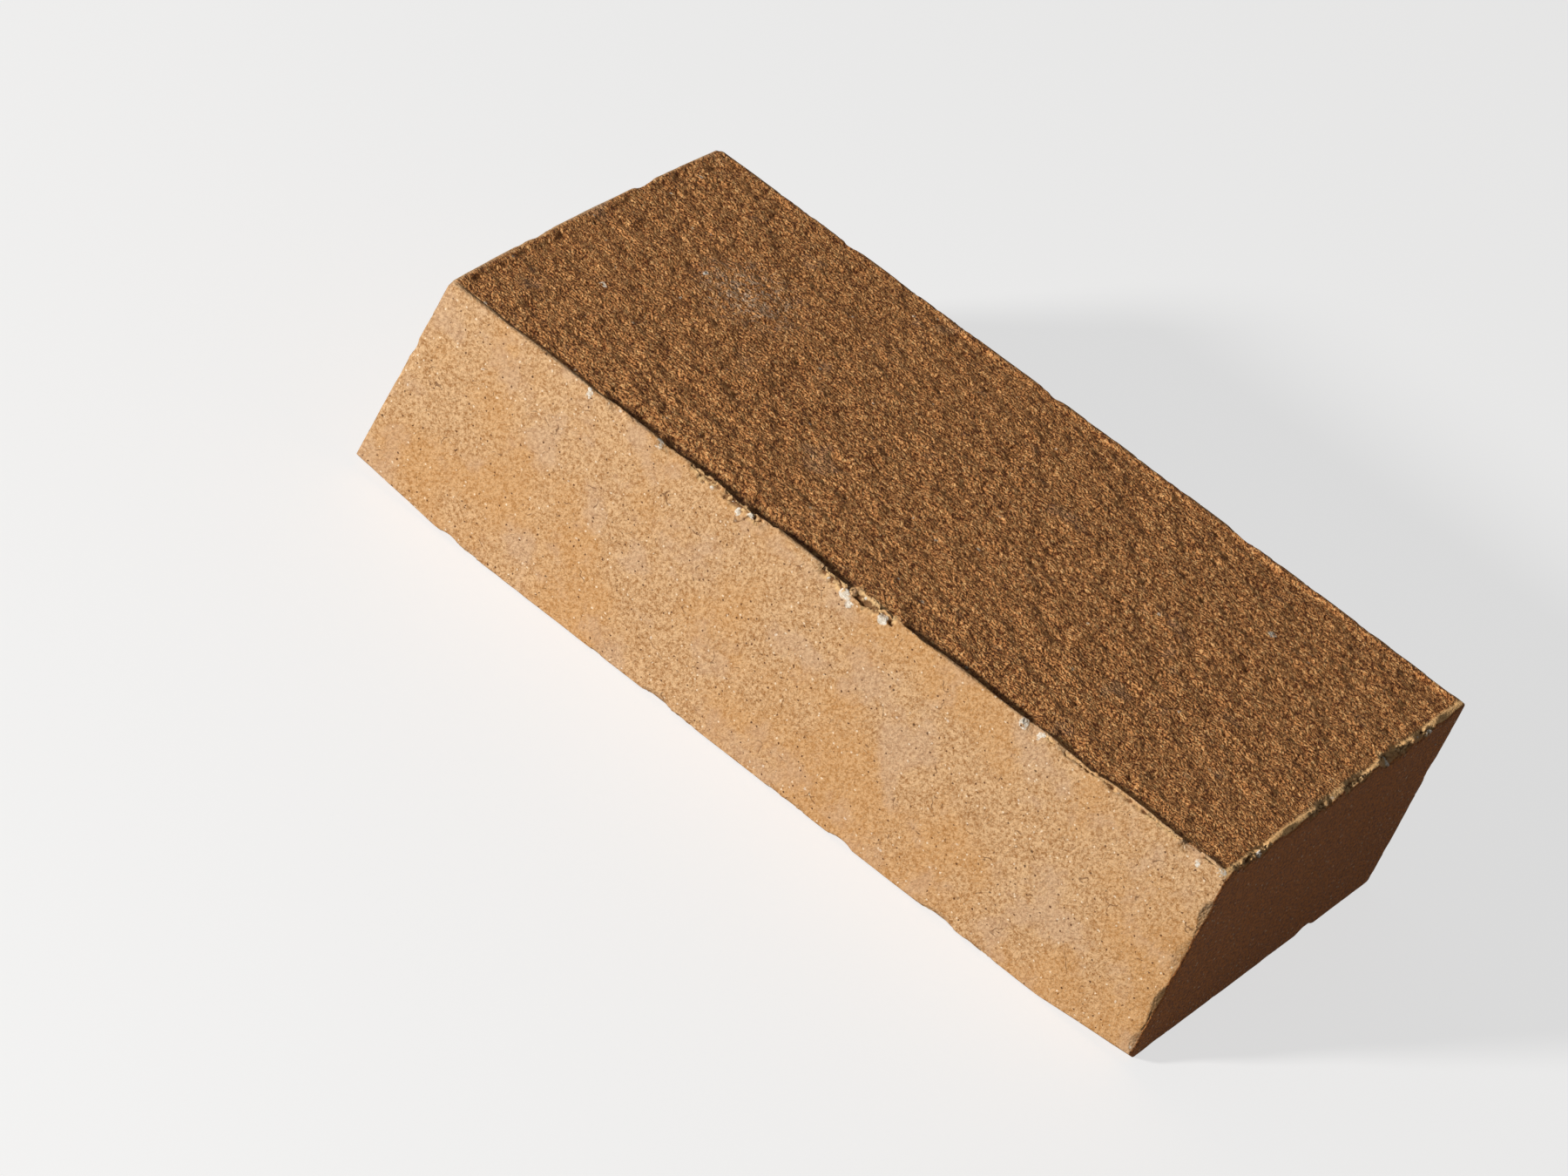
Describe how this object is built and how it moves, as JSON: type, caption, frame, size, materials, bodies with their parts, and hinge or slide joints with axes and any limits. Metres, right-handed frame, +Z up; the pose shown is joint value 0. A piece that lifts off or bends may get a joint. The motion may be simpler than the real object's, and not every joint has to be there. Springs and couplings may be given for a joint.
{
  "type": "refractory firebrick",
  "caption": "Straight refractory firebrick: a solid block of coarse fired clay with a slightly sunk, grainy upper bed inside a thin, uneven rim, and flaked arrises.",
  "frame": {"origin": "middle of the lower bed, on the floor the brick lies on", "axes": "+X along the brick's length, +Y across its width, +Z up through its thickness"},
  "size_m": [0.2199, 0.11, 0.055],
  "materials": {
    "fireclay": "rough, unglazed fired clay with pale grog grains"
  },
  "bodies": {
    "root": {"firebrick": "fireclay"}
  },
  "joints": []
}
